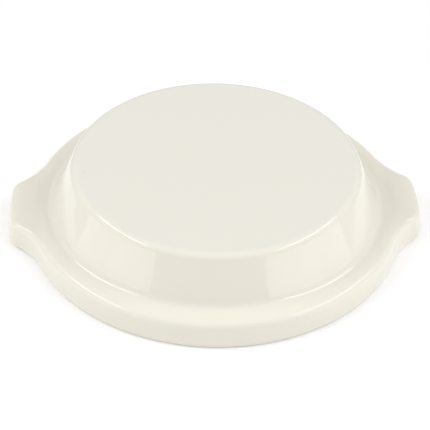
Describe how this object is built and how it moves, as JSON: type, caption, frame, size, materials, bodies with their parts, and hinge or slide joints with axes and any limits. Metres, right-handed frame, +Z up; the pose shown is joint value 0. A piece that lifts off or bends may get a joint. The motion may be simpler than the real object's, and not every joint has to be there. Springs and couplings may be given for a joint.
{
  "type": "rarebit dish",
  "caption": "Shallow round glazed dish with an ear at each side, a stepped ledge and a flat base, stored upside down on its rim.",
  "frame": {"origin": "centre of the round rim, on the plane that the rim rests on", "axes": "+Z up through the base, which faces up as in the picture; X runs through both ears; Y runs across them"},
  "size_m": [0.1816, 0.164, 0.0325],
  "materials": {
    "glaze": "glossy warm ivory glaze"
  },
  "bodies": {
    "root": {"dish": "glaze"}
  },
  "joints": []
}
